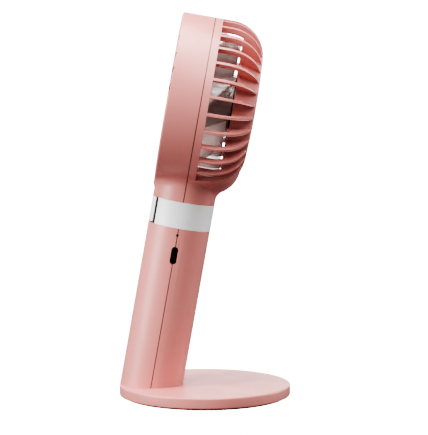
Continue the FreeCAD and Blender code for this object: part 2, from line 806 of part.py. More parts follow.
def build_end_cap():
    plug = cylinder(f"{BORE} - slide_fit", "cap_height + 2 * grip_wall + 4", ("0", "0", "-2 * grip_wall - 4"))
    trim_depth = "grip_radius"
    trim = cylinder("3 * grip_radius", trim_depth, ("0", "0", "0"))
    trim.Placement = Placement(Vector(), Rotation(Vector(1, 0, 0), size("lean")))
    trim.setExpression("Placement.Rotation.Angle", dim("lean"))
    trim.setExpression("Placement.Base.y", dim(f"{trim_depth} * sin(lean * 1 deg)"))
    trim.setExpression("Placement.Base.z", dim(f"0 - {trim_depth} * cos(lean * 1 deg)"))
    socket = cylinder("spigot_radius + lift_gap", f"grip_radius + {SOCKET_TOP}", ("0", "0", "-grip_radius"))
    recess = cylinder("catch_radius", "catch_thick", ("0", "0", "cap_height - catch_thick"))
    seat = "cap_height / 2"
    holes = []
    screws = []
    for side in ("cap_post_offset", "-cap_post_offset"):
        holes.append(cylinder("screw_radius + screw_play", "cap_height", ("0", side, "0")))
        holes.append(cylinder("screw_head_radius + screw_play", f"grip_radius + {seat}",
                              ("0", side, "-grip_radius")))
        screws.append(screw(("0", side, seat), "z", 1, "(cap_height / 2 + cap_post_length / 2)"))
    keep_in_fan(cut(plug, trim, socket, recess, *holes), "end_cap")
    keep_in_fan(group(*screws), "end_cap_screws")
    keep_in_fan(cylinder("catch_radius", "catch_thick", ("0", "0", "cap_height - catch_thick")), "catch_plate")


# ---------------------------------------------------------------- neck band, bezel, button, switch

def build_band_and_button():
    keep_in_fan(sector("grip_radius", GROOVE, "band_height", "band_bottom",
                       "band_gap_angle - 90", "360 - 2 * band_gap_angle"), "neck_band")
    bezel = sector(GROOVE, BEZEL_FLOOR, "band_height", "band_bottom",
                   "-90 - band_gap_angle", "2 * band_gap_angle")
    rails = [sector("grip_radius - rail_drop", GROOVE, "band_height", "band_bottom", start,
                    "band_gap_angle - pad_angle - rail_gap_angle")
             for start in ("-90 - band_gap_angle", "-90 + pad_angle + rail_gap_angle")]
    stem_hole = cylinder("stem_radius + stem_clearance", "grip_radius", ("0", "-grip_radius", "switch_rise"), "y")
    keep_in_fan(cut(fuse(bezel, *rails), stem_hole), "button_bezel")

    pad = sector("grip_radius", "grip_radius - pad_thick", "band_height - pad_foot_gap - pad_head_gap",
                 "band_bottom + pad_foot_gap", "-90 - pad_angle", "2 * pad_angle")
    plunger_face = f"({BOARD_FRONT} - switch_height - plunger_proud)"
    stem = cylinder("stem_radius", f"{plunger_face} - tip_gap + grip_radius - pad_thick / 2",
                    ("0", "pad_thick / 2 - grip_radius", "switch_rise"), "y")
    keep_in_fan(fuse(pad, stem), "power_button")

    plunger = cylinder("plunger_radius", "plunger_length", ("0", plunger_face, "switch_rise"), "y")
    keep_in_fan(plunger, "switch_plunger")
    block = box(("switch_size", "switch_height", "switch_size"),
                ("-switch_size / 2", f"{BOARD_FRONT} - switch_height", "switch_rise - switch_size / 2"))
    well = cylinder("plunger_radius + plunger_gap", "plunger_length - plunger_proud + 1.5 * button_travel",
                    ("0", f"{BOARD_FRONT} - switch_height", "switch_rise"), "y")
    keep_in_fan(cut(block, well), "switch_body")


# ---------------------------------------------------------------- battery

def build_battery():
    cell = cylinder("cell_radius", "cell_length - cell_tip_height", ("0", "0", CELL_BOTTOM))
    tip = cylinder("cell_tip_radius", "cell_length", ("0", "0", CELL_BOTTOM))
    keep_in_fan(fuse(cell, tip), "battery_cell")

    height = "cradle_floor + cell_length + cradle_rise"
    trough = tube("cell_radius + slide_fit + cradle_wall", "cell_radius + slide_fit", height,
                  ("0", "0", "cap_height"))
    floor = cylinder("cell_radius + slide_fit + cradle_wall", "cradle_floor", ("0", "0", "cap_height"))
    front = box(("2 * grip_radius", "grip_radius", "2 * cell_length"), ("-grip_radius", "-grip_radius", "0"))
    ribs = []
    inner = "cell_radius + slide_fit + cradle_wall / 2"
    for start in (inner, f"0 - ({BORE} - slide_fit)"):
        ribs.append(box((f"{BORE} - slide_fit - ({inner})", "cradle_rib", "cell_length / 2"),
                        (start, "0", "cap_height + cell_length / 4")))
    keep_in_fan(cut(fuse(trough, floor, *ribs), front), "battery_cradle")


# ---------------------------------------------------------------- main board and what it carries

def build_main_board():
    wide = box(("2 * board_half_width", "board_thick", "board_step - board_bottom"),
               ("-board_half_width", BOARD_FRONT, "board_bottom"))
    narrow = box(("2 * board_half_neck", "board_thick", "board_top - board_bottom"),
                 ("-board_half_neck", BOARD_FRONT, "board_bottom"))
    places = (("-low_post_side", "low_post_rise"), ("high_post_side", "high_post_rise"))
    holes = [cylinder("screw_radius + screw_play", "board_thick", (x, BOARD_FRONT, z), "y") for x, z in places]
    keep_in_fan(cut(fuse(wide, narrow), *holes), "main_board")
    screws = [screw((x, BOARD_FRONT, z), "y", 1, "board_screw_length") for x, z in places]
    keep_in_fan(group(*screws), "board_screws")

    chips = []
    for width, depth, length, across, above in CHIPS:
        chips.append(box((f"{width}", f"{depth}", f"{length}"),
                         (f"{across - width / 2}", f"{BOARD_FRONT} - {depth}", f"port_rise + {above - length / 2}")))
    keep_in_fan(group(*chips), "board_chips")

    mouth = "(grip_radius - port_recess)"
    start = f"({mouth} - port_depth)"
    case = stadium("port_width", "port_thick", "port_depth", (start, "0", "port_rise"))
    inside = stadium("port_width - 2 * port_wall", "port_thick - 2 * port_wall", "port_depth",
                     (f"{start} + port_wall", "0", "port_rise"))
    keep_in_fan(cut(case, inside), "usb_socket")
    keep_in_fan(box(("tongue_depth", "tongue_thick", "tongue_width"),
                    (f"{start} + port_wall", "-tongue_thick / 2", "port_rise - tongue_width / 2")), "usb_tongue")

    keep_in_fan(box(("led_size", f"{BOARD_FRONT} + led_size / 2", "led_size"),
                    ("led_side", "-led_size / 2", "led_rise - led_size / 2")), "charge_led")
    keep_in_fan(cylinder("led_radius", "grip_radius - led_side - led_size - slide_fit",
                         ("led_side + led_size", "0", "led_rise"), "x"), "light_pipe")
    screws = [screw((x, "shell_post_depth", "shell_screw_rise"), "y", -1, "(2 * shell_post_depth - 2)")
              for x in ("shell_screw_side", "-shell_screw_side")]
    keep_in_fan(group(*screws), "shell_screws")


# ---------------------------------------------------------------- motor

def build_motor():
    tube_bore = "bearing_radius"
    mount = turned_body("mount", [
        (tube_bore, "mount_tube_front"), ("mount_tube_radius", "mount_tube_front"),
        ("mount_tube_radius", "mount_step"), ("mount_step_radius", "mount_step"),
        ("mount_step_radius", "mount_flange_front"), ("mount_flange_radius", "mount_flange_front"),
        ("mount_flange_radius", FLANGE_BACK), (tube_bore, FLANGE_BACK),
    ], "XY_Plane")
    places = round_places(3, "mount_screw_circle", 90.0)
    holes = [cylinder("screw_radius + screw_play", "mount_flange_thick", (x, "mount_flange_front", z), "y")
             for x, z in places]
    keep_in_head(cut(mount, *holes), "motor_mount")
    screws = [screw((x, "mount_flange_front", z), "y", 1, "mount_screw_length") for x, z in places]
    keep_in_head(group(*screws), "mount_screws")
    keep_in_head(tube("motor_board_radius", "mount_tube_radius", "motor_board_thick",
                      ("0", "mount_step - motor_board_thick", "0"), "y"), "motor_board")

    for label, face in (("front_bearing", "front_bearing_face"), ("rear_bearing", "rear_bearing_face")):
        keep_in_head(tube("bearing_radius", "shaft_radius + shaft_fit", "bearing_width",
                          ("0", face, "0"), "y"), label)

    can = turned_body("can", [
        ("shaft_radius", "can_front"), ("can_radius", "can_front"), ("can_radius", "hub_back"),
        ("can_radius - can_wall", "hub_back"), ("can_radius - can_wall", "can_front + can_wall"),
        ("can_boss_radius", "can_front + can_wall"), ("can_boss_radius", "can_boss_end"),
        ("shaft_radius", "can_boss_end"),
    ], "XY_Plane")
    keep_in_head(can, "rotor_can")
    keep_in_head(tube("can_radius - can_wall", "can_radius - can_wall - ring_magnet_wall",
                      "ring_magnet_length", ("0", "ring_magnet_front", "0"), "y"), "rotor_magnet")
    shaft = turned_body("shaft", [
        ("0", "shaft_front"), ("shaft_radius", "shaft_front"), ("shaft_radius", "groove_face"),
        ("groove_radius", "groove_face"), ("groove_radius", "groove_face + groove_width"),
        ("shaft_radius", "groove_face + groove_width"), ("shaft_radius", "shaft_back"), ("0", "shaft_back"),
    ], "XY_Plane")
    keep_in_head(shaft, "motor_shaft")
    ring = cylinder("clip_radius", "groove_width", ("0", "groove_face", "0"), "y", "360 - clip_gap_angle")
    eye = cylinder("groove_radius", "groove_width", ("0", "groove_face", "0"), "y")
    keep_in_head(cut(ring, eye), "shaft_clip")
    build_stator()


def build_stator():
    """Laminated core with its poles, and one coil round each pole."""
    front = size("core_front")
    length = size("core_length")
    reach = size(CORE_RADIUS)
    yoke = size("mount_tube_radius + core_yoke")
    step = 360.0 / int(size("pole_count"))
    core = Part.makeCylinder(yoke, length, Vector(0, front, 0), Vector(0, 1, 0))
    poles = []
    coils = []
    for index in range(int(size("pole_count"))):
        turn = step * index + step / 4
        arm = Part.makeBox(reach - yoke + 0.7, length, size("pole_width"),
                           Vector(yoke - 1.0, front, -size("pole_width") / 2))
        shoe = wedge(reach, front, length, -size("shoe_angle"), 2 * size("shoe_angle"),
                     size(f"{CORE_RADIUS} - shoe_depth"))
        inner = yoke + 0.4
        outer = size(f"{CORE_RADIUS} - shoe_depth") - 0.3
        coil = Part.makeBox(outer - inner, length + 2 * size("coil_head"), size("coil_width"),
                            Vector(inner, front - size("coil_head"), -size("coil_width") / 2))
        coil = coil.cut(arm)
        for piece in (arm, shoe, coil):
            piece.rotate(Vector(), Vector(0, 1, 0), -turn)
        poles += [arm, shoe]
        coils.append(coil)
    core = core.fuse(poles).common(Part.makeCylinder(reach, length, Vector(0, front, 0), Vector(0, 1, 0)))
    core = core.cut(Part.makeCylinder(size("mount_tube_radius"), length, Vector(0, front, 0), Vector(0, 1, 0)))
    keep_in_head(feature(core.removeSplitter()), "stator_core")
    keep_in_head(feature(Part.makeCompound(coils)), "stator_coils")


# ---------------------------------------------------------------- impeller and front guard

def blade():
    """One twisted blade: three straight chords at growing radii, lofted and trimmed to the tip circle."""
    front = size("blade_front")
    back = size("blade_back")
    thick = size("blade_thick")
    middle = (front + back) / 2
    inner = size("hub_radius") - 1.5
    outer = size(TIP_RADIUS) + 3.0
    wires = []
    for share in (0.0, 0.5, 1.0):
        radius = inner + share * (outer - inner)
        pitch = math.radians(size("root_pitch") + share * size("tip_pitch - root_pitch"))
        depth = (back - front) * (1.0 - 0.12 * (1.0 - share))
        run = depth / math.tan(pitch)
        corners = []
        for end, side in ((-1, -1), (1, -1), (1, 1), (-1, 1)):
            along = Vector(0, end * depth / 2, end * run / 2)
            across = Vector(0, -math.cos(pitch), math.sin(pitch)) * (side * thick / 2)
            corners.append(Vector(radius, middle, 0) + along + across)
        wires.append(Part.makePolygon(corners + [corners[0]]))
    solid = Part.makeLoft(wires, True, True)
    return solid


def blade_envelope():
    """Space the blades may fill: it follows the fins' inner edges at one clearance."""
    envelope = revolve_head(size(TIP_RADIUS), size("fin_depth + tip_clearance"))
    envelope.translate(Vector(0, 0, -size("head_height")))
    return envelope


def build_impeller():
    front = size("hub_front")
    skirt = size("hub_back") - front
    hub = Part.makeCylinder(size("hub_radius"), skirt, Vector(0, front, 0), Vector(0, 1, 0))
    blades = []
    count = int(size("blade_count"))
    envelope = blade_envelope()
    for index in range(count):
        piece = blade().common(envelope)
        piece.rotate(Vector(), Vector(0, 1, 0), 360.0 * index / count)
        blades.append(piece)
    inside = Part.makeCylinder(size("can_radius"), skirt, Vector(0, front + size("hub_plate"), 0), Vector(0, 1, 0))
    solid = hub.fuse(blades).cut(inside)
    keep_in_head(feature(solid.removeSplitter()), "impeller")


def guard_vane(index):
    """Vane swept from the hub to the rim along an arc, of even thickness."""
    front = size("guard_recess") - size("head_front")
    half = size("vane_thick") / 2
    start = size("guard_hub_radius") - 1.0
    end = size(f"{GUARD_RADIUS} - guard_rim") + 0.8
    turn = 360.0 * index / size("vane_count")
    sides = []
    for side in (-1, 1):
        points = []
        for radius, share in ((start, 0.0), ((start + end) / 2, 0.36), (end, 1.0)):
            angle = math.radians(turn + share * size("vane_sweep")) + side * half / radius
            points.append(Vector(radius * math.cos(angle), front, radius * math.sin(angle)))
        sides.append(points)
    edges = [
        Part.Arc(*sides[0]).toShape(),
        Part.LineSegment(sides[0][2], sides[1][2]).toShape(),
        Part.Arc(*reversed(sides[1])).toShape(),
        Part.LineSegment(sides[1][0], sides[0][0]).toShape(),
    ]
    return Part.Face(Part.Wire(edges)).extrude(Vector(0, size("vane_depth"), 0))


def round_slab(radius, front, back, bore=None):
    slab = Part.makeCylinder(radius, back - front, Vector(0, front, 0), Vector(0, 1, 0))
    if bore is None:
        return slab
    return slab.cut(Part.makeCylinder(bore, back - front, Vector(0, front, 0), Vector(0, 1, 0)))


def build_front_guard():
    front = size("guard_recess") - size("head_front")
    back = front + size("vane_depth")
    rim_radius = size(GUARD_RADIUS)
    ring = size("mid_ring_radius")
    parts = [guard_vane(index) for index in range(int(size("vane_count")))]
    parts.append(round_slab(ring + size("mid_ring_width") / 2, front, back, ring - size("mid_ring_width") / 2))
    parts.append(round_slab(size("guard_hub_radius"), front, back))
    ledge_front = size(LEDGE_FRONT)
    hook = ledge_front + size("ledge_thick + lug_gap")
    neck = size(f"{DRUM_BORE} - ledge_width") - size("lug_gap")
    for index in range(3):
        start = 90.0 + 120.0 * index - size("lug_angle")
        for inner, outer, near in ((neck - 1.2, neck, back), (neck - 1.2, rim_radius, hook)):
            parts.append(wedge(outer, near, hook + size("lug_thick") - near, start, 2 * size("lug_angle"), inner))
    rim = round_slab(rim_radius, front, ledge_front - size("lug_gap") / 2, rim_radius - size("guard_rim") - 1.0)
    recess = round_slab(size("guard_cap_radius"), front, front + size("guard_cap_thick"))
    solid = rim.fuse(parts).cut(recess)
    keep_in_head(feature(solid.removeSplitter()), "front_guard")
    keep_in_head(cylinder("guard_cap_radius", "guard_cap_thick", ("0", "guard_recess - head_front", "0"), "y"),
                 "guard_cap")


# ---------------------------------------------------------------- leads

def lead(points, radius):
    """Round wire along straight runs joined by tangent arcs."""
    edges = []
    last = points[0]
    for index in range(1, len(points) - 1):
        before = points[index] - points[index - 1]
        after = points[index + 1] - points[index]
        turn = before.getAngle(after)
        shorter = min(before.Length, after.Length)
        trim = 0.45 * shorter
        bend = trim / math.tan(turn / 2)
        enter = points[index] - before * (trim / before.Length)
        leave = points[index] + after * (trim / after.Length)
        middle_way = (enter + leave) * 0.5 - points[index]
        centre = points[index] + middle_way * ((bend / math.cos(turn / 2)) / middle_way.Length)
        middle = centre + (points[index] - centre) * (bend / (points[index] - centre).Length)
        edges.append(Part.LineSegment(last, enter).toShape())
        edges.append(Part.Arc(enter, middle, leave).toShape())
        last = leave
    edges.append(Part.LineSegment(last, points[-1]).toShape())
    path = Part.Wire(edges)
    start = Part.Wire([Part.makeCircle(radius, points[0], points[1] - points[0])])
    solid = path.makePipeShell([start], True, True)
    print("lead", round(solid.Volume / (math.pi * radius ** 2 * path.Length), 4))
    return solid


def lead_hole_ends():
    """Slanted duct from the neck's bore up into the head's solid bottom, behind the impeller."""
    neck = size("neck_height")
    return Vector(0, 12.0, neck - 6.0), Vector(0, 22.3, neck + 9.5)


def build_leads():
    radius = size("lead_radius")
    neck = size("neck_height")
    head = size("head_height")
    board_back = size(BOARD_BACK)
    board_face = size("mount_step")
    land = size("board_top - lead_land")
    solder = head - size("lead_solder")
    motor = []
    for index in (-1, 0, 1):
        x = index * size("lead_spacing")
        motor.append(lead([
            Vector(x, board_back, land), Vector(x, board_back + size("lead_reach"), land),
            Vector(x, 11.0, neck - 10.5), Vector(x, 12.6, neck - 5.0), Vector(x, 18.9, neck + 4.8),
            Vector(x, 20.3, neck + 12.0), Vector(x, 20.1, (neck + 12.0 + 2 * solder) / 3),
            Vector(x, 19.8, solder), Vector(x, board_face, solder),
        ], radius))
    keep_in_fan(feature(Part.makeCompound(motor)), "motor_leads")

    cell_foot = size(CELL_BOTTOM)
    cell_top = cell_foot + size("cell_length")
    board_low = size("board_bottom")
    plus = lead([
        Vector(3.0, 6.2, cell_top - size("cell_tip_height")), Vector(3.0, 6.2, board_low + 1.0),
        Vector(3.0, 5.0, board_low + 3.2), Vector(3.0, board_back, board_low + 3.2),
    ], radius)
    side = size("cell_radius + lead_radius + lead_gap")
    slope = math.radians(222.0)
    out = Vector(side * math.cos(slope), side * math.sin(slope), 0)
    low = cell_foot - size("lead_drop")
    minus = lead([
        out * 0.35 + Vector(0, 0, cell_foot), out * 0.35 + Vector(0, 0, low), out + Vector(0, 0, low),
        out * 1.02 + Vector(0, 0, (low + cell_top) / 2), out + Vector(0, 0, cell_top - 1.0),
        Vector(-7.4, -4.6, board_low + 1.2), Vector(-7.4, size(BOARD_FRONT), board_low + 1.2),
    ], radius)
    keep_in_fan(feature(Part.makeCompound([plus, minus])), "battery_leads")


# ---------------------------------------------------------------- whole object

build_stand()
build_shells()
build_end_cap()
build_band_and_button()
build_battery()
build_main_board()
build_motor()
build_impeller()
build_front_guard()
build_leads()
doc.recompute()

for item in doc.Objects:
    if "Invalid" in item.State or "Error" in item.State:
        raise RuntimeError(f"{item.Label}: {item.State}")
for label, item in nodes.items():
    if item.Shape.isNull() or not item.Shape.isValid():
        raise RuntimeError(f"{label}: no valid shape")

os.makedirs("parts", exist_ok=True)
for label, item in nodes.items():
    item.Shape.exportStep(f"parts/{label}.step")
    print(label, len(item.Shape.Solids), round(item.Shape.Volume, 1))
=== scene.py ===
import json
import math

import bmesh
import bpy
from mathutils import Matrix, Vector


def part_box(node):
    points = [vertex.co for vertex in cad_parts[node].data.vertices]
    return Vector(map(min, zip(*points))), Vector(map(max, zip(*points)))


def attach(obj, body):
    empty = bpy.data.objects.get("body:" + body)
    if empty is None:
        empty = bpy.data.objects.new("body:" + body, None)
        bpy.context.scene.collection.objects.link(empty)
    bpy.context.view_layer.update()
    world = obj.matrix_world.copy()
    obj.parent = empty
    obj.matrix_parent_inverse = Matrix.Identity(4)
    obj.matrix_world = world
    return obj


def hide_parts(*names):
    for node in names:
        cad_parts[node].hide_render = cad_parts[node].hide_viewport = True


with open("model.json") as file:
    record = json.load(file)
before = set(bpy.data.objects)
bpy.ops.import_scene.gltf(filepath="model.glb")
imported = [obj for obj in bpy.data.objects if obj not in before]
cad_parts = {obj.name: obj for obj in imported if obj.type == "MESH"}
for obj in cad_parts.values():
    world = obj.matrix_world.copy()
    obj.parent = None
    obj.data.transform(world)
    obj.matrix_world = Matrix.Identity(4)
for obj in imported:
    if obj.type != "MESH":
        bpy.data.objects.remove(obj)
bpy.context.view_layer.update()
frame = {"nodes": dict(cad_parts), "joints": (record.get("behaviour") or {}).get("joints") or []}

MM = 0.001
nodes = frame["nodes"]
joints = {joint["name"]: joint for joint in frame["joints"]}

# ------------------------------------------------------------------ where the fan leans
# The whole fan stands on its round stand and leans back.  Its own directions come from
# the joints: the handle's axis is the way it lifts off, the head's axis the impeller's.
rise = Vector(joints["lift_off"]["axis"])
backward = -Vector(joints["impeller_spin"]["axis"])
sideways = Vector((1.0, 0.0, 0.0))
head_centre = Vector(joints["impeller_spin"]["pos_m"])
stand_height = 6.0 * MM
stand_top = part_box("base_cover")[0].z + stand_height
foot = head_centre - rise * ((head_centre.z - stand_top) / rise.z)


def leaning(origin):
    """Matrix that takes a piece's own x, y, z to the leaning fan's side, back and up."""
    turn = Matrix((sideways, backward, rise)).transposed()
    return Matrix.Translation(origin) @ turn.to_4x4()


in_head = leaning(head_centre)
in_handle = leaning(foot)

# ------------------------------------------------------------------ stand
# A flat round disc moulded in the same salmon plastic as the fan, with a soft edge, a
# short tilted spigot for the handle near its front, and a thin black rubber pad below.
stand_radius = 47.2 * MM
stand_edge = 0.9 * MM
spigot_radius = 6.0 * MM
spigot_height = 8.0 * MM
spigot_root = 1.0 * MM
magnet_radius = 4.5 * MM
magnet_recess = 3.0 * MM
plate_thick = 1.8 * MM
rim_width = 2.4 * MM
salmon = (0.60, 0.227, 0.206, 1.0)


def rounded(points, steps=5):
    """Outline through (across, up, radius) corners, each one rounded by its own radius.

    A round takes just under half of the shorter side beside it.
    """
    most = 0.49
    outline = []
    for index, (across, up, radius) in enumerate(points):
        here = Vector((across, up))
        if radius <= 0.0:
            outline.append(here)
            continue
        before = Vector(points[index - 1][:2]) - here
        after = Vector(points[(index + 1) % len(points)][:2]) - here
        half = before.angle(after) / 2
        reach = min(radius / math.tan(half), most * before.length, most * after.length)
        start = here + before.normalized() * reach
        end = here + after.normalized() * reach
        for step in range(steps + 1):
            share = step / steps
            rest = 1 - share
            outline.append(rest ** 2 * start + 2 * share * rest * here + share ** 2 * end)
    return outline


def new_piece(name, points, faces, place=Matrix.Identity(4)):
    """Mesh object at the origin, with its place in its points and its faces outward."""
    mesh = bpy.data.meshes.new(name)
    mesh.from_pydata([place @ Vector(point) for point in points], [], faces)
    work = bmesh.new()
    work.from_mesh(mesh)
    bmesh.ops.remove_doubles(work, verts=work.verts, dist=1e-7)
    bmesh.ops.recalc_face_normals(work, faces=work.faces)
    work.to_mesh(mesh)
    work.free()
    piece = bpy.data.objects.new(name, mesh)
    bpy.context.scene.collection.objects.link(piece)
    soften(piece)
    return piece


def soften(piece, angle=32.0):
    """Smooth shading that breaks at real edges."""
    for face in piece.data.polygons:
        face.use_smooth = True
    piece.data.set_sharp_from_angle(angle=math.radians(angle))


def turned(name, outline, place, about="z", sides=160):
    """Closed outline of (radius, height) turned about its own axis."""
    points = []
    for step in range(sides):
        angle = 2 * math.pi * step / sides
        for radius, height in outline:
            flat = (radius * math.cos(angle), radius * math.sin(angle))
            if about == "z":
                points.append((flat[0], flat[1], height))
            else:
                points.append((flat[0], height, flat[1]))
    count = len(outline)
    faces = []
    for step in range(sides):
        for index in range(count):
            after = (index + 1) % count
            faces.append((step * count + index, step * count + after,
                          (step + 1) % sides * count + after, (step + 1) % sides * count + index))
    return new_piece(name, points, faces, place)


def skin_group():
    """Fine moulded skin: slow tone changes, gloss changes and a very fine grain."""
    group = bpy.data.node_groups.new("moulded_skin", "ShaderNodeTree")
    for name, value in (("Grain size", 0.0004), ("Mottle size", 0.02)):
        socket = group.interface.new_socket(name, in_out="INPUT", socket_type="NodeSocketFloat")
        socket.default_value = value
    for name in ("Tone", "Gloss", "Height"):
        group.interface.new_socket(name, in_out="OUTPUT", socket_type="NodeSocketFloat")
    make = group.nodes.new
    join = group.links.new
    inside = make("NodeGroupInput")
    outside = make("NodeGroupOutput")
    place = make("ShaderNodeTexCoord")
    for size, detail, result in (("Mottle size", 3.0, "Tone"), ("Mottle size", 5.0, "Gloss"),
                                 ("Grain size", 2.0, "Height")):
        invert = make("ShaderNodeMath")
        invert.operation = "DIVIDE"
        invert.inputs[0].default_value = 1.0 if result != "Gloss" else 3.0
        noise = make("ShaderNodeTexNoise")
        noise.inputs["Detail"].default_value = detail
        join(inside.outputs[size], invert.inputs[1])
        join(invert.outputs[0], noise.inputs["Scale"])
        join(place.outputs["Object"], noise.inputs["Vector"])
        join(noise.outputs["Fac"], outside.inputs[result])
    return group


moulded_skin = skin_group()


def plastic(name, colour, roughness, spread=0.05, tone=0.05, grain=0.0004, bump=0.06, **sockets):
    """Moulded plastic: base colour, roughness and fine bump come from the shared skin."""
    material = bpy.data.materials.new(name)
    material.use_nodes = True
    make = material.node_tree.nodes.new
    join = material.node_tree.links.new
    shader = material.node_tree.nodes["Principled BSDF"]
    skin = make("ShaderNodeGroup")
    skin.node_tree = moulded_skin
    skin.inputs["Grain size"].default_value = grain
    skin.inputs["Mottle size"].default_value = 0.03
    shade = make("ShaderNodeMix")
    shade.data_type = "RGBA"
    shade.inputs["A"].default_value = [channel * (1 + tone) for channel in colour[:3]] + [1.0]
    shade.inputs["B"].default_value = [channel * (1 - tone) for channel in colour[:3]] + [1.0]
    gloss = make("ShaderNodeMapRange")
    gloss.inputs["From Min"].default_value = 0.3
    gloss.inputs["From Max"].default_value = 0.7
    gloss.inputs["To Min"].default_value = roughness - spread
    gloss.inputs["To Max"].default_value = roughness + spread
    relief = make("ShaderNodeBump")
    relief.inputs["Strength"].default_value = bump
    relief.inputs["Distance"].default_value = 0.0001
    join(skin.outputs["Tone"], shade.inputs["Factor"])
    join(shade.outputs["Result"], shader.inputs["Base Color"])
    join(skin.outputs["Gloss"], gloss.inputs["Value"])
    join(gloss.outputs["Result"], shader.inputs["Roughness"])
    join(skin.outputs["Height"], relief.inputs["Height"])
    join(relief.outputs["Normal"], shader.inputs["Normal"])
    for socket, value in sockets.items():
        shader.inputs[socket.replace("_", " ")].default_value = value
    return material


def painted_seam_shadow_group():
    """Mask of the painted seam shadow: the shade of the hairline gap where the two halves meet, along the
    fan's middle plane.
    """
    group = bpy.data.node_groups.new("painted_seam_shadow", "ShaderNodeTree")
    socket = group.interface.new_socket("Line width", in_out="INPUT", socket_type="NodeSocketFloat")
    socket.default_value = 0.0004
    group.interface.new_socket("Line", in_out="OUTPUT", socket_type="NodeSocketFloat")
    make = group.nodes.new
    join = group.links.new
    inside = make("NodeGroupInput")
    outside = make("NodeGroupOutput")
    place = make("ShaderNodeTexCoord")
    depth = make("ShaderNodeVectorMath")
    depth.operation = "DOT_PRODUCT"
    depth.inputs[1].default_value = backward
    centre = make("ShaderNodeMath")
    centre.operation = "SUBTRACT"
    centre.inputs[1].default_value = foot.dot(backward)
    distance = make("ShaderNodeMath")
    distance.operation = "ABSOLUTE"
    half = make("ShaderNodeMath")
    half.operation = "MULTIPLY"
    half.inputs[1].default_value = 0.5
    fade = make("ShaderNodeMapRange")
    fade.interpolation_type = "SMOOTHSTEP"
    fade.inputs["To Min"].default_value = 1.0
    fade.inputs["To Max"].default_value = 0.0
    join(place.outputs["Object"], depth.inputs[0])
    join(depth.outputs["Value"], centre.inputs[0])
    join(centre.outputs[0], distance.inputs[0])
    join(distance.outputs[0], fade.inputs["Value"])
    join(inside.outputs["Line width"], half.inputs[0])
    join(half.outputs[0], fade.inputs["From Min"])
    join(inside.outputs["Line width"], fade.inputs["From Max"])
    join(fade.outputs["Result"], outside.inputs["Line"])
    return group


def paint_seam_shadow(material, width, depth):
    """Paint the shadow of the seam gap into a plastic's colour along the line where the halves meet."""
    tree = material.node_tree
    shader = tree.nodes["Principled BSDF"]
    colour = shader.inputs["Base Color"].links[0].from_socket
    line = tree.nodes.new("ShaderNodeGroup")
    line.node_tree = painted_seam_shadow_group()
    line.inputs["Line width"].default_value = width
    amount = tree.nodes.new("ShaderNodeMath")
    amount.operation = "MULTIPLY"
    amount.inputs[1].default_value = depth
    darken = tree.nodes.new("ShaderNodeMix")
    darken.data_type = "RGBA"
    # Colour of the painted seam shadow, mixed over the plastic's own colour.
    darken.inputs["B"].default_value = (0.06, 0.018, 0.016, 1.0)
    tree.links.new(line.outputs["Line"], amount.inputs[0])
    tree.links.new(amount.outputs[0], darken.inputs["Factor"])
    tree.links.new(colour, darken.inputs["A"])
    tree.links.new(darken.outputs["Result"], shader.inputs["Base Color"])


def dress(piece, material):
    """Give the whole piece one material."""
    piece.data.materials.clear()
    piece.data.materials.append(material)
    return piece


salmon_plastic = plastic("salmon_plastic", salmon, 0.38, Specular_IOR_Level=0.5)
under = stand_top - stand_height
plate_under = stand_top - plate_thick
rim_bore = stand_radius - rim_width
recess_floor = spigot_height - magnet_recess
stand_disc = turned("stand_disc", rounded([
    (0.0, plate_under, 0.0), (rim_bore, plate_under, 0.3 * MM), (rim_bore, under, 0.3 * MM),
    (stand_radius, under, stand_edge), (stand_radius, stand_top, stand_edge), (0.0, stand_top, 0.0),
]), Matrix.Identity(4), sides=220)
dress(stand_disc, salmon_plastic)
stand_spigot = turned("stand_spigot", rounded([
    (0.0, -spigot_root, 0.0), (spigot_radius, -spigot_root, 0.0), (spigot_radius, spigot_height, 0.6 * MM),
    (magnet_radius, spigot_height, 0.1 * MM), (magnet_radius, recess_floor, 0.0), (0.0, recess_floor, 0.0),
]), in_handle, sides=72)
dress(stand_spigot, salmon_plastic)
for piece in (stand_disc, stand_spigot):
    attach(piece, "base")
    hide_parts("base_disc")

# ------------------------------------------------------------------ foot pad
# A disc of black rubber, cut from sheet and glued under the stand, with shallow round
# grooves that keep it from sliding.
pad_low, pad_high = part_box("foot_pad")
pad_radius = pad_high.x
groove_pitch = 4.0 * MM
groove_depth = 0.25 * MM
groove_half = 0.6 * MM
groove_floor_half = 0.3 * MM
pad_margin = 2.0 * MM
pad_outline = [(0.0, pad_high.z, 0.0), (0.0, pad_low.z, 0.0)]
grooves = int((pad_radius - pad_margin) / groove_pitch)
for ring in range(1, grooves + 1):
    middle = ring * groove_pitch
    pad_outline += [(middle - groove_half, pad_low.z, 0.0),
                    (middle - groove_floor_half, pad_low.z + groove_depth, 0.0),
                    (middle + groove_floor_half, pad_low.z + groove_depth, 0.0),
                    (middle + groove_half, pad_low.z, 0.0)]
pad_outline += [(pad_radius, pad_low.z, 0.2 * MM), (pad_radius, pad_high.z, 0.2 * MM)]
foot_pad = turned("foot_pad_rubber", rounded(pad_outline, 3), Matrix.Identity(4), sides=140)
pad_rubber = plastic("pad_rubber", (0.012, 0.012, 0.012), 0.72, 0.1, 0.3, 0.0006, 0.35)
dress(foot_pad, pad_rubber)
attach(foot_pad, "base")
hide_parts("foot_pad")

# ------------------------------------------------------------------ handle and head shells
# Two deep mouldings meet at a straight seam: the front one makes the drum and the front
# of the handle, the rear one the finned dome, the motor cup and the back of the handle.
shell_edge = 0.12 * MM
merge_gap = 0.002 * MM
flat_turn = math.radians(0.15)
# Width and darkness of the painted seam shadow on the shells.
seam_shadow_width = 0.34 * MM
seam_shadow_darkness = 0.9


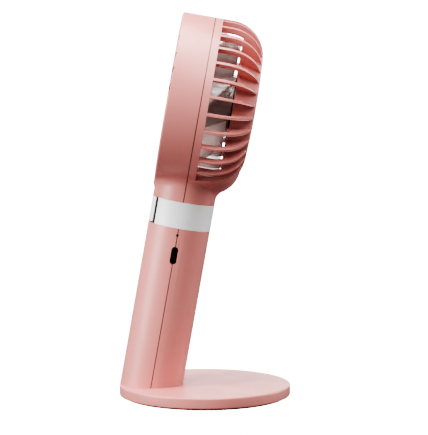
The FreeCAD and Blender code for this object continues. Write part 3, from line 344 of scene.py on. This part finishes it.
def eased(name, node, body, width, material, segments=2, angle=34.0):
    """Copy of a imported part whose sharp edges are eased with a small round."""
    mesh = nodes[node].data.copy()
    work = bmesh.new()
    work.from_mesh(mesh)
    bmesh.ops.remove_doubles(work, verts=work.verts, dist=merge_gap)
    bmesh.ops.dissolve_limit(work, angle_limit=flat_turn, verts=work.verts, edges=work.edges)
    work.to_mesh(mesh)
    work.free()
    piece = bpy.data.objects.new(name, mesh)
    bpy.context.scene.collection.objects.link(piece)
    round_edges = piece.modifiers.new("eased_edges", "BEVEL")
    round_edges.limit_method = "ANGLE"
    round_edges.angle_limit = math.radians(angle)
    round_edges.width = width
    round_edges.segments = segments
    round_edges.use_clamp_overlap = False
    round_edges.harden_normals = True
    soften(piece, 40.0)
    dress(piece, material)
    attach(piece, body)
    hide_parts(node)
    return piece


shell_plastic = plastic("shell_plastic", salmon, 0.38)
# The shells' plastic gets a painted shadow along the seam, a dark hairline where the gap between the halves
# would be in shade.
paint_seam_shadow(shell_plastic, seam_shadow_width, seam_shadow_darkness)
front_shell = eased("front_shell_moulding", "front_shell", "fan", shell_edge, shell_plastic)
rear_shell = eased("rear_shell_moulding", "rear_shell", "fan", shell_edge, shell_plastic)
end_cap = eased("end_cap_moulding", "end_cap", "fan", shell_edge, shell_plastic)

# ------------------------------------------------------------------ neck band and power button
# A white satin ring snapped round the neck, open at the front for a white push pad; the
# black bezel behind shows as a dark slit on either side of the pad.
band_edge = 0.2 * MM
white_plastic = plastic("white_plastic", (0.76, 0.76, 0.76), 0.42, 0.05, 0.02, 0.0004, 0.05)
black_plastic = plastic("black_plastic", (0.008, 0.008, 0.008), 0.5, 0.08, 0.2, 0.0004, 0.12)
neck_band = eased("neck_band_ring", "neck_band", "fan", band_edge, white_plastic)
button_pad = eased("button_pad", "power_button", "button", band_edge, white_plastic)
bezel = eased("bezel_black", "button_bezel", "fan", shell_edge, black_plastic)

# ------------------------------------------------------------------ impeller
# One clear smoky moulding: a deep hub pressed over the motor's can, and seven twisted
# blades on it.  The blades are one blade set round the hub seven times.
blade_count = 7
blade_front = -4.0 * MM
blade_back = 16.2 * MM
blade_thick = 1.1 * MM
blade_tip = 41.3 * MM
blade_tip_back = 40.2 * MM
blade_camber = 1.6 * MM
root_chord = 0.88
edge_thinness = 0.35
edge_growth = 2.2
tip_growth = 0.05
corner_start = 0.72
corner_cut = 50.0 * MM
root_sink = 0.6 * MM
tip_pitch = math.radians(32.0)
root_pitch = math.radians(52.0)
hub_radius = 17.0 * MM
hub_bore = 15.4 * MM
hub_front = -5.0 * MM
hub_back = 16.5 * MM
hub_plate = 1.5 * MM


def ring_tree(name):
    """Geometry nodes: set the incoming piece round the local Y axis at even steps."""
    tree = bpy.data.node_groups.new(name, "GeometryNodeTree")
    tree.is_modifier = True
    sockets = (("Piece", "NodeSocketGeometry"), ("Count", "NodeSocketInt"),
               ("First angle", "NodeSocketFloat"), ("Step angle", "NodeSocketFloat"),
               ("Finish", "NodeSocketMaterial"))
    for label, kind in sockets:
        tree.interface.new_socket(label, in_out="INPUT", socket_type=kind)
    tree.interface.new_socket("Ring", in_out="OUTPUT", socket_type="NodeSocketGeometry")
    make = tree.nodes.new
    join = tree.links.new
    inside = make("NodeGroupInput")
    outside = make("NodeGroupOutput")
    line = make("GeometryNodeMeshLine")
    line.inputs["Offset"].default_value = (0.0, 0.0, 0.0)
    index = make("GeometryNodeInputIndex")
    steps = make("ShaderNodeMath")
    steps.operation = "MULTIPLY_ADD"
    turn = make("FunctionNodeAxisAngleToRotation")
    turn.inputs["Axis"].default_value = (0.0, -1.0, 0.0)
    copies = make("GeometryNodeInstanceOnPoints")
    real = make("GeometryNodeRealizeInstances")
    finish = make("GeometryNodeSetMaterial")
    join(inside.outputs["Count"], line.inputs["Count"])
    join(index.outputs[0], steps.inputs[0])
    join(inside.outputs["Step angle"], steps.inputs[1])
    join(inside.outputs["First angle"], steps.inputs[2])
    join(steps.outputs[0], turn.inputs["Angle"])
    join(line.outputs["Mesh"], copies.inputs["Points"])
    join(inside.outputs["Piece"], copies.inputs["Instance"])
    join(turn.outputs["Rotation"], copies.inputs["Rotation"])
    join(copies.outputs["Instances"], real.inputs["Geometry"])
    join(real.outputs["Geometry"], finish.inputs["Geometry"])
    join(inside.outputs["Finish"], finish.inputs["Material"])
    join(finish.outputs["Geometry"], outside.inputs["Ring"])
    return tree


set_round = ring_tree("set_round_the_axis")


def repeated(name, one, count, first, step, finish, place):
    """Plain mesh piece made of one shape repeated round the head's axis by the ring tree."""
    modifier = one.modifiers.new("ring", "NODES")
    modifier.node_group = set_round
    values = {"Count": count, "First angle": first, "Step angle": step, "Finish": finish}
    for item in set_round.interface.items_tree:
        if item.in_out == "INPUT" and item.name in values:
            modifier[item.identifier] = values[item.name]
    bpy.context.view_layer.update()
    evaluated = one.evaluated_get(bpy.context.evaluated_depsgraph_get())
    mesh = bpy.data.meshes.new_from_object(evaluated)
    mesh.name = name
    one.modifiers.remove(modifier)
    bpy.data.objects.remove(one)
    mesh.transform(place)
    piece = bpy.data.objects.new(name, mesh)
    bpy.context.scene.collection.objects.link(piece)
    soften(piece, 50.0)
    return dress(piece, finish)


def blade_sheet(span_steps=14, chord_steps=16):
    """One closed blade: it twists from the steep root to the flat tip, with rounded edges."""
    front_side = []
    back_side = []
    root = hub_radius - root_sink
    for span in range(span_steps + 1):
        share = span / span_steps
        pitch = root_pitch + share * (tip_pitch - root_pitch)
        depth = (blade_back - blade_front) * (root_chord + (1 - root_chord) * share)
        for chord in range(chord_steps + 1):
            along = chord / chord_steps
            lift = math.sin(math.pi * along)
            inward = min(along, 1.0 - along, 1.0 - share + tip_growth)
            thick = blade_thick / 2 * min(1.0, edge_thinness + edge_growth * inward)
            axial = (along - 0.5) * depth
            across = axial / math.tan(pitch)
            tip = blade_tip + (blade_tip_back - blade_tip) * along
            corner = corner_cut * max(0.0, abs(along - 0.5) * 2 - corner_start) ** 2
            radius = root + share * (tip - corner - root)
            for side, sheet in ((-1.0, front_side), (1.0, back_side)):
                offset = blade_camber * lift * share + side * thick
                deep = (blade_front + blade_back) / 2 + axial - offset * math.cos(pitch)
                angle = (across + offset * math.sin(pitch)) / radius
                sheet.append((radius * math.cos(angle), deep, radius * math.sin(angle)))
    row = chord_steps + 1
    count = len(front_side)
    faces = []
    for span in range(span_steps):
        for chord in range(chord_steps):
            here = span * row + chord
            faces.append((here, here + 1, here + row + 1, here + row))
            faces.append((count + here, count + here + row, count + here + row + 1, count + here + 1))
    rim = ([span * row for span in range(span_steps + 1)]
           + [span_steps * row + chord for chord in range(1, chord_steps + 1)]
           + [span * row + chord_steps for span in range(span_steps - 1, -1, -1)]
           + [chord for chord in range(chord_steps - 1, 0, -1)])
    for index, here in enumerate(rim):
        after = rim[(index + 1) % len(rim)]
        faces.append((here, after, count + after, count + here))
    return new_piece("one_blade", front_side + back_side, faces)


smoke = plastic("smoke_plastic", (0.50, 0.39, 0.37), 0.16, 0.04, 0.06, 0.0006, 0.05,
                Alpha=0.68, Coat_Weight=0.6)
blades = repeated("impeller_blades", blade_sheet(), blade_count, 0.0,
                  2 * math.pi / blade_count, smoke, in_head)
hub = turned("impeller_hub", rounded([
    (0.0, hub_front, 0.0), (hub_radius, hub_front, 2.2 * MM), (hub_radius, hub_back, 0.2 * MM),
    (hub_bore, hub_back, 0.2 * MM), (hub_bore, hub_front + hub_plate, 0.5 * MM),
    (0.0, hub_front + hub_plate, 0.0),
]), in_head, "y", 128)
dress(hub, smoke)
for piece in (blades, hub):
    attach(piece, "rotor")
    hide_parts("impeller")

# ------------------------------------------------------------------ front grille
# Twenty-four swept vanes between a rim, a middle ring and a hub, all one moulding in the
# shell's plastic.  Three hooks behind the rim turn it home, and a cap closes the hub.
vane_count = 24
vane_thick = 1.3 * MM
vane_depth = 2.4 * MM
vane_sweep = math.radians(38.0)
vane_lead = 0.44
vane_hub_lap = 1.0 * MM
vane_rim_lap = 0.8 * MM
grille_front = -17.6 * MM
grille_back = grille_front + vane_depth
rim_outer = 43.9 * MM
rim_inner = 41.0 * MM
rim_back = -14.7 * MM
ring_middle = 29.0 * MM
ring_width = 1.6 * MM
grille_hub = 14.0 * MM
hook_count = 3
hook_half = math.radians(7.0)
hook_inner = 41.1 * MM
hook_outer = 42.2 * MM
hook_back = -12.0 * MM
cap_radius = 11.0 * MM
cap_depth = 0.8 * MM
cap_play = 0.05 * MM
cap_dome = 0.12 * MM
lathe_rings = 9000.0


def vane_bar(steps=18):
    """One vane: a thin bar with a rounded front edge, swept outward along an arc."""
    half_profile = [(0.15, 0.0), (0.36, 0.07), (0.5, 0.22), (0.5, 1.0)]
    profile = [(-across, deep) for across, deep in reversed(half_profile)] + half_profile
    start = grille_hub - vane_hub_lap
    end = rim_inner + vane_rim_lap

    def along(share):
        radius = start + share * (end - start)
        sweep = vane_sweep * (vane_lead * share + (1 - vane_lead) * share ** 2)
        return Vector((radius * math.cos(sweep), 0.0, radius * math.sin(sweep)))

    points = []
    for step in range(steps + 1):
        share = step / steps
        ahead = (along(share + 0.01) - along(share - 0.01)).normalized()
        beside = Vector((-ahead.z, 0.0, ahead.x))
        for across, deep in profile:
            point = along(share) + beside * across * vane_thick
            points.append((point.x, grille_front + deep * vane_depth, point.z))
    count = len(profile)
    faces = [tuple(range(count)), tuple(range(steps * count, (steps + 1) * count))]
    for step in range(steps):
        for index in range(count):
            after = (index + 1) % count
            faces.append((step * count + index, step * count + after,
                          (step + 1) * count + after, (step + 1) * count + index))
    return new_piece("one_vane", points, faces)


def hook_block(steps=8):
    """One hook: an arc-shaped foot behind the rim that slides under the shell's ledge."""
    section = ((hook_inner, grille_back), (hook_outer, grille_back),
               (hook_outer, hook_back), (hook_inner, hook_back))
    count = len(section)
    points = []
    for step in range(steps + 1):
        angle = -hook_half + 2 * hook_half * step / steps
        for radius, deep in section:
            points.append((radius * math.cos(angle), deep, radius * math.sin(angle)))
    faces = [tuple(range(count)), tuple(range(steps * count, (steps + 1) * count))]
    for step in range(steps):
        for index in range(count):
            after = (index + 1) % count
            faces.append((step * count + index, step * count + after,
                          (step + 1) * count + after, (step + 1) * count + index))
    return new_piece("one_hook", points, faces)


vanes = repeated("grille_vanes", vane_bar(), vane_count, 0.0,
                 2 * math.pi / vane_count, salmon_plastic, in_head)
hooks = repeated("grille_hooks", hook_block(), hook_count, math.radians(90.0),
                 2 * math.pi / hook_count, salmon_plastic, in_head)
rim = turned("grille_rim", rounded([
    (rim_inner, grille_front, 0.4 * MM), (rim_outer, grille_front, 0.4 * MM),
    (rim_outer, rim_back, 0.2 * MM), (rim_inner, rim_back, 0.2 * MM),
]), in_head, "y", 200)
ring_inner = ring_middle - ring_width / 2
ring_outer = ring_middle + ring_width / 2
middle_ring = turned("grille_middle_ring", rounded([
    (ring_inner, grille_front, 0.4 * MM), (ring_outer, grille_front, 0.4 * MM),
    (ring_outer, grille_back, 0.2 * MM), (ring_inner, grille_back, 0.2 * MM),
]), in_head, "y", 160)
grille_disc = turned("grille_hub", rounded([
    (0.0, grille_front + cap_depth, 0.0), (cap_radius, grille_front + cap_depth, 0.0),
    (cap_radius, grille_front, 0.15 * MM), (grille_hub, grille_front, 0.5 * MM),
    (grille_hub, grille_back, 0.2 * MM), (0.0, grille_back, 0.0),
]), in_head, "y", 120)
for piece in (vanes, hooks, rim, middle_ring, grille_disc):
    dress(piece, salmon_plastic)
    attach(piece, "guard")
    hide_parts("front_guard")


def spun_metal(name, colour, roughness):
    """Spun sheet metal: fine lathe rings about the head's axis in its gloss and relief."""
    material = bpy.data.materials.new(name)
    material.use_nodes = True
    make = material.node_tree.nodes.new
    join = material.node_tree.links.new
    shader = material.node_tree.nodes["Principled BSDF"]
    shader.inputs["Metallic"].default_value = 1.0
    place = make("ShaderNodeTexCoord")
    centre = make("ShaderNodeVectorMath")
    centre.operation = "DISTANCE"
    centre.inputs[1].default_value = head_centre + backward * grille_front
    rings = make("ShaderNodeTexNoise")
    rings.noise_dimensions = "1D"
    rings.inputs["Scale"].default_value = lathe_rings
    rings.inputs["Detail"].default_value = 4.0
    gloss = make("ShaderNodeMapRange")
    gloss.inputs["To Min"].default_value = roughness - 0.08
    gloss.inputs["To Max"].default_value = roughness + 0.1
    shade = make("ShaderNodeMix")
    shade.data_type = "RGBA"
    shade.inputs["A"].default_value = [channel * 0.9 for channel in colour] + [1.0]
    shade.inputs["B"].default_value = [channel * 1.08 for channel in colour] + [1.0]
    relief = make("ShaderNodeBump")
    relief.inputs["Strength"].default_value = 0.12
    relief.inputs["Distance"].default_value = 0.00005
    join(place.outputs["Object"], centre.inputs[0])
    join(centre.outputs["Value"], rings.inputs["W"])
    join(rings.outputs["Fac"], gloss.inputs["Value"])
    join(rings.outputs["Fac"], shade.inputs["Factor"])
    join(rings.outputs["Fac"], relief.inputs["Height"])
    join(gloss.outputs["Result"], shader.inputs["Roughness"])
    join(shade.outputs["Result"], shader.inputs["Base Color"])
    join(relief.outputs["Normal"], shader.inputs["Normal"])
    return material


cap_disc = turned("grille_cap_disc", rounded([
    (0.0, grille_front, 0.0), (cap_radius - cap_play, grille_front + cap_dome, 0.25 * MM),
    (cap_radius - cap_play, grille_front + cap_depth, 0.0), (0.0, grille_front + cap_depth, 0.0),
]), in_head, "y", 120)
dress(cap_disc, spun_metal("spun_cap", (0.60, 0.575, 0.57), 0.3))
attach(cap_disc, "guard")
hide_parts("guard_cap")

# ------------------------------------------------------------------ inner parts
# The stand's weight, magnet and cover, the battery, boards, switch and port, and the motor
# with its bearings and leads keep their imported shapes, each with its own finish.
steel = plastic("zinc_steel", (0.55, 0.55, 0.53), 0.3, 0.08, 0.08, 0.001, 0.1, Metallic=1.0)
inner_finishes = {
    "base_weight": steel, "base_screws": steel, "end_cap_screws": steel, "catch_plate": steel,
    "board_screws": steel, "shell_screws": steel, "mount_screws": steel, "rotor_can": steel,
    "shaft_clip": steel,
    "base_cover": black_plastic, "switch_body": black_plastic, "board_chips": black_plastic,
    "usb_tongue": black_plastic, "switch_plunger": black_plastic,
    "base_magnet": plastic("nickel", (0.62, 0.60, 0.56), 0.2, 0.05, 0.03, 0.001, 0.03, Metallic=1.0),
    "usb_socket": plastic("socket_steel", (0.10, 0.09, 0.085), 0.35, 0.05, 0.03, 0.001, 0.03, Metallic=1.0),
    "battery_cell": plastic("cell_sleeve", (0.02, 0.11, 0.30), 0.3),
    "battery_cradle": plastic("natural_plastic", (0.62, 0.60, 0.55), 0.5),
    "main_board": plastic("board_green", (0.006, 0.08, 0.03), 0.4),
    "motor_board": plastic("motor_board_green", (0.006, 0.08, 0.03), 0.4),
    "charge_led": plastic("led_body", (0.8, 0.76, 0.6), 0.3),
    "light_pipe": plastic("light_guide", (0.02, 0.012, 0.012), 0.25, 0.03),
    "motor_mount": plastic("turned_aluminium", (0.62, 0.63, 0.64), 0.32, 0.05, 0.04, 0.001, 0.05,
                           Metallic=1.0),
    "stator_core": plastic("laminations", (0.12, 0.12, 0.125), 0.45, 0.1, 0.1, 0.0005, 0.2, Metallic=1.0),
    "rotor_magnet": plastic("ferrite", (0.05, 0.05, 0.055), 0.6),
    "stator_coils": plastic("enamelled_copper", (0.55, 0.20, 0.08), 0.3, Metallic=1.0),
    "front_bearing": plastic("ground_steel", (0.6, 0.6, 0.62), 0.18, 0.04, Metallic=1.0),
    "motor_leads": plastic("lead_insulation", (0.35, 0.02, 0.015), 0.45),
}
inner_finishes["rear_bearing"] = inner_finishes["front_bearing"]
inner_finishes["motor_shaft"] = inner_finishes["front_bearing"]
inner_finishes["battery_leads"] = inner_finishes["motor_leads"]
for node, material in inner_finishes.items():
    dress(nodes[node], material)

# ------------------------------------------------------------------ floor, lights and camera
# A white table and backdrop, a broad softbox overhead, a smaller one high at the port's
# side, a low card on the far side, a tall softbox in front and a narrow strip behind.
floor_mesh = bpy.data.meshes.new("floor")
floor_reach = 8.0
floor_mesh.from_pydata([(-floor_reach, -floor_reach, 0), (floor_reach, -floor_reach, 0),
                        (floor_reach, floor_reach, 0), (-floor_reach, floor_reach, 0)], [], [(0, 1, 2, 3)])
floor = bpy.data.objects.new("floor", floor_mesh)
bpy.context.scene.collection.objects.link(floor)
backdrop_level = 6.0
floor_bounce = (0.08, 0.075, 0.075, 1.0)
pale = bpy.data.materials.new("pale_floor")
pale.use_nodes = True
pale_nodes = pale.node_tree.nodes
pale_links = pale.node_tree.links
pale_nodes.remove(pale_nodes["Principled BSDF"])
bounce = pale_nodes.new("ShaderNodeBsdfDiffuse")
bounce.inputs["Color"].default_value = floor_bounce
white = pale_nodes.new("ShaderNodeEmission")
white.inputs["Strength"].default_value = backdrop_level
looked_at = pale_nodes.new("ShaderNodeLightPath")
choice = pale_nodes.new("ShaderNodeMixShader")
pale_links.new(looked_at.outputs["Is Camera Ray"], choice.inputs["Fac"])
pale_links.new(bounce.outputs["BSDF"], choice.inputs[1])
pale_links.new(white.outputs["Emission"], choice.inputs[2])
pale_links.new(choice.outputs["Shader"], pale_nodes["Material Output"].inputs["Surface"])
dress(floor, pale)


def soft_light(name, place, target, width, height, watts):
    """Rectangular softbox that faces the target."""
    lamp = bpy.data.lights.new(name, "AREA")
    lamp.shape = "RECTANGLE"
    lamp.size = width
    lamp.size_y = height
    lamp.energy = watts
    item = bpy.data.objects.new(name, lamp)
    item.location = place
    item.rotation_euler = (Vector(target) - Vector(place)).to_track_quat("-Z", "Y").to_euler()
    bpy.context.scene.collection.objects.link(item)


lit_point = (0.0, 0.0, 0.11)
soft_light("overhead", (0.15, -0.10, 1.35), lit_point, 0.9, 0.9, 32.0)
soft_light("side_high", (0.80, 0.35, 0.95), lit_point, 0.6, 0.6, 9.5)
soft_light("far_card", (-1.20, 0.0, 0.32), lit_point, 1.6, 0.5, 5.0)
soft_light("front_left", (0.52, -1.30, 0.50), lit_point, 0.7, 0.9, 27.0)
soft_light("back_strip", (-0.45, 1.25, 0.45), lit_point, 0.3, 0.9, 10.0)

world = bpy.data.worlds.new("studio")
bpy.context.scene.world = world
world.use_nodes = True
ambient_level = 0.23
sky = world.node_tree.nodes["Background"]
sky.inputs["Color"].default_value = (1.0, 1.0, 1.0, 1.0)
seen = world.node_tree.nodes.new("ShaderNodeLightPath")
level = world.node_tree.nodes.new("ShaderNodeMapRange")
level.inputs["To Min"].default_value = ambient_level
level.inputs["To Max"].default_value = backdrop_level
world.node_tree.links.new(seen.outputs["Is Camera Ray"], level.inputs["Value"])
world.node_tree.links.new(level.outputs["Result"], sky.inputs["Strength"])
bpy.context.scene.view_settings.view_transform = "AgX"
bpy.context.scene.view_settings.look = "AgX - High Contrast"

camera_place = Vector((1.148, 0.0081, 0.2127))
camera_target = Vector((0.0, 0.0050, 0.0990))
frame_height = 36.0
lens_length = 173.9
lens = bpy.data.cameras.new("camera")
lens.sensor_fit = "VERTICAL"
lens.sensor_height = frame_height
lens.lens = lens_length
camera = bpy.data.objects.new("camera", lens)
camera.location = camera_place
camera.rotation_euler = (camera_target - camera_place).to_track_quat("-Z", "Y").to_euler()
bpy.context.scene.collection.objects.link(camera)
bpy.context.scene.camera = camera
